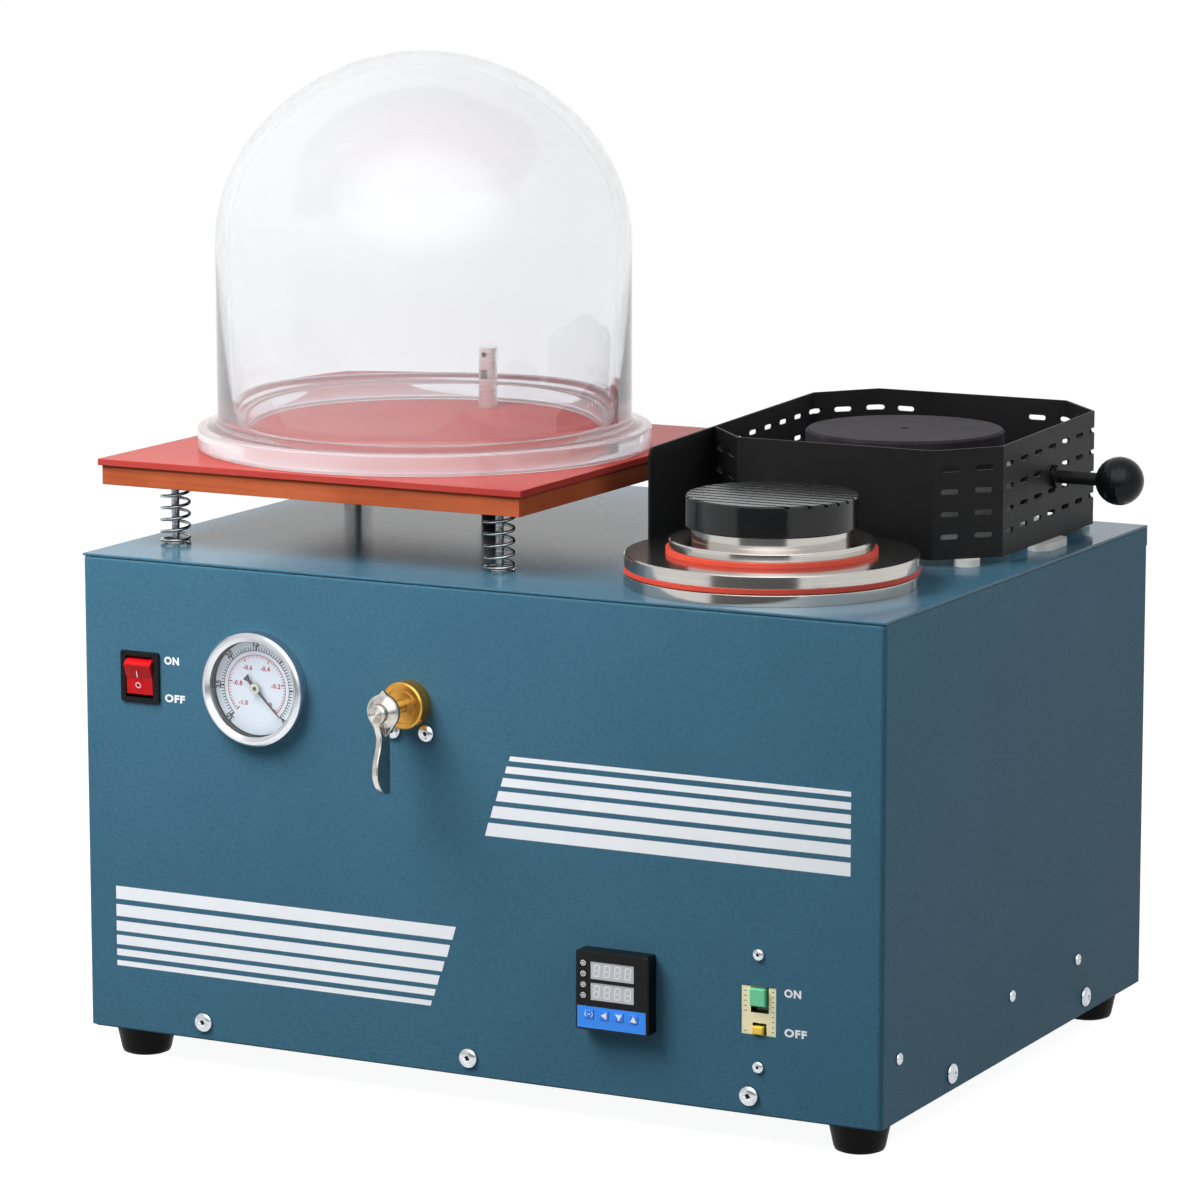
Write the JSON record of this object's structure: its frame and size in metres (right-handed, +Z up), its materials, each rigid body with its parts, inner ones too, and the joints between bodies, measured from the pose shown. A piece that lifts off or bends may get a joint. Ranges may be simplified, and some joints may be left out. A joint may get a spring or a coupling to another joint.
{
  "type": "jewelry vacuum casting machine",
  "caption": "Bench vacuum casting machine: steel cabinet, spring-borne investing table with clear bell jar, casting chamber, guarded crucible furnace, gauge and valve.",
  "frame": {"origin": "the middle of the whole machine's footprint, at bench level under its feet", "axes": "+X to the right as the operator faces the front panel, +Y to the back, +Z up"},
  "size_m": [0.5796, 0.4478, 0.618],
  "materials": {
    "cabinet_paint": "blue hammer-free satin enamel",
    "zinc_steel": "bright zinc plate",
    "stainless": "ground stainless steel",
    "chrome": "bright chrome plate",
    "spring_steel": "drawn spring wire",
    "foot_rubber": "black moulded rubber",
    "red_rubber": "red silicone rubber",
    "pad_silicone": "soft pink silicone",
    "phenolic_board": "orange-brown laminate",
    "clear_acrylic": "clear acrylic",
    "black_anodised": "black anodised, turned",
    "guard_paint": "black powder coat",
    "lid_steel": "dark heat-blued steel",
    "black_plastic": "fine satin plastic",
    "ball_plastic": "polished phenolic",
    "rocker_red": "translucent red",
    "dial_white": "white dial enamel",
    "lens_glass": "clear flat glass",
    "needle_black": "matt black",
    "brass": "turned brass",
    "display_grey": "grey display window",
    "strip_blue": "bright blue film",
    "breaker_cream": "cream moulding",
    "button_green": "green button",
    "button_yellow": "yellow button",
    "ceramic_fibre": "pressed ceramic fibre",
    "heater_ceramic": "fired ceramic",
    "graphite": "turned graphite",
    "pump_paint": "grey machine enamel",
    "hose_rubber": "black vacuum hose",
    "bush_plastic": "white acetal"
  },
  "bodies": {
    "cabinet": {"cabinet_shell": "cabinet_paint", "top_cover": "cabinet_paint", "rear_panel": "cabinet_paint", "base_tray": "cabinet_paint", "rubber_feet": "foot_rubber", "foot_screws": "zinc_steel", "large_screws": "zinc_steel", "small_screws": "zinc_steel", "power_inlet": "black_plastic", "guide_bushes": "bush_plastic", "table_springs": "spring_steel", "chamber_pot": "stainless", "chamber_flange": "stainless", "lower_gasket": "red_rubber", "furnace_can": "stainless", "furnace_lining": "ceramic_fibre", "furnace_heater": "heater_ceramic", "crucible": "graphite", "guard_spacers": "zinc_steel", "rocker_housing": "black_plastic", "gauge_case": "black_plastic", "gauge_bezel": "chrome", "gauge_dial": "dial_white", "gauge_lens": "lens_glass", "valve_body": "brass", "valve_collar": "brass", "valve_screws": "zinc_steel", "controller_case": "black_plastic", "controller_displays": "display_grey", "controller_strip": "strip_blue", "breaker_case": "breaker_cream", "pump_oil_case": "pump_paint", "pump_motor": "pump_paint", "pump_rail": "pump_paint", "pump_feet": "foot_rubber", "fixed_hoses": "hose_rubber", "table_hose": "hose_rubber"},
    "table": {"table_board": "phenolic_board", "table_pad": "pad_silicone", "vacuum_post": "stainless", "guide_bolts": "zinc_steel"},
    "bell_jar": {"bell_jar": "clear_acrylic"},
    "adapter": {"adapter_plate": "stainless", "upper_gasket": "red_rubber"},
    "flask_ring": {"flask_ring": "stainless"},
    "chamber_cover": {"chamber_cover": "black_anodised"},
    "furnace_lid": {"furnace_lid": "lid_steel"},
    "guard": {"guard_sheet": "guard_paint", "guard_handle": "zinc_steel", "guard_ball": "ball_plastic"},
    "valve_lever": {"valve_lever": "chrome"},
    "rocker": {"rocker": "rocker_red"},
    "gauge_needle": {"gauge_needle": "needle_black"},
    "key_set": {"key_set": "strip_blue"},
    "key_shift": {"key_shift": "strip_blue"},
    "key_down": {"key_down": "strip_blue"},
    "key_up": {"key_up": "strip_blue"},
    "breaker_reset": {"breaker_reset": "button_green"},
    "breaker_test": {"breaker_test": "button_yellow"}
  },
  "joints": [
    {"name": "table_shake", "type": "slide", "parent": "cabinet", "child": "table", "axis": [0, 0, 1], "range_m": [-0.01, 0], "stiffness_N_per_m": 10000, "springref_m": 0.006, "deforming": ["table_springs", "table_hose"]},
    {"name": "jar_lift", "type": "slide", "parent": "table", "child": "bell_jar", "axis": [0, 0, 1], "range_m": [0, 0.3]},
    {"name": "adapter_lift", "type": "slide", "parent": "cabinet", "child": "adapter", "axis": [0, 0, 1], "range_m": [0, 0.12]},
    {"name": "flask_ring_lift", "type": "slide", "parent": "adapter", "child": "flask_ring", "axis": [0, 0, 1], "range_m": [0, 0.1]},
    {"name": "cover_lift", "type": "slide", "parent": "flask_ring", "child": "chamber_cover", "axis": [0, 0, 1], "range_m": [0, 0.1]},
    {"name": "lid_lift", "type": "slide", "parent": "cabinet", "child": "furnace_lid", "axis": [0, 0, 1], "range_m": [0, 0.15]},
    {"name": "guard_lift", "type": "slide", "parent": "cabinet", "child": "guard", "axis": [0, 0, 1], "range_m": [0, 0.12]},
    {"name": "valve_turn", "type": "hinge", "parent": "cabinet", "child": "valve_lever", "pos_m": [-0.05625, -0.1814, 0.2435], "axis": [0, -1, 0], "range_deg": [-90, 90]},
    {"name": "rocker_tip", "type": "hinge", "parent": "cabinet", "child": "rocker", "pos_m": [-0.24535, -0.1769, 0.2433], "axis": [-1, 0, 0], "range_deg": [0, 22]},
    {"name": "needle_turn", "type": "hinge", "parent": "cabinet", "child": "gauge_needle", "pos_m": [-0.16225, -0.1814, 0.2435], "axis": [0, -1, 0], "range_deg": [0, 270], "stiffness_Nm_per_rad": 0.0004},
    {"name": "key_set_press", "type": "slide", "parent": "cabinet", "child": "key_set", "axis": [0, 1, 0], "range_m": [0, 0.0005], "stiffness_N_per_m": 2000},
    {"name": "key_shift_press", "type": "slide", "parent": "cabinet", "child": "key_shift", "axis": [0, 1, 0], "range_m": [0, 0.0005], "stiffness_N_per_m": 2000},
    {"name": "key_down_press", "type": "slide", "parent": "cabinet", "child": "key_down", "axis": [0, 1, 0], "range_m": [0, 0.0005], "stiffness_N_per_m": 2000},
    {"name": "key_up_press", "type": "slide", "parent": "cabinet", "child": "key_up", "axis": [0, 1, 0], "range_m": [0, 0.0005], "stiffness_N_per_m": 2000},
    {"name": "breaker_reset_press", "type": "slide", "parent": "cabinet", "child": "breaker_reset", "axis": [0, 1, 0], "range_m": [0, 0.0016], "stiffness_N_per_m": 1500},
    {"name": "breaker_test_press", "type": "slide", "parent": "cabinet", "child": "breaker_test", "axis": [0, 1, 0], "range_m": [0, 0.0016], "stiffness_N_per_m": 1500}
  ]
}
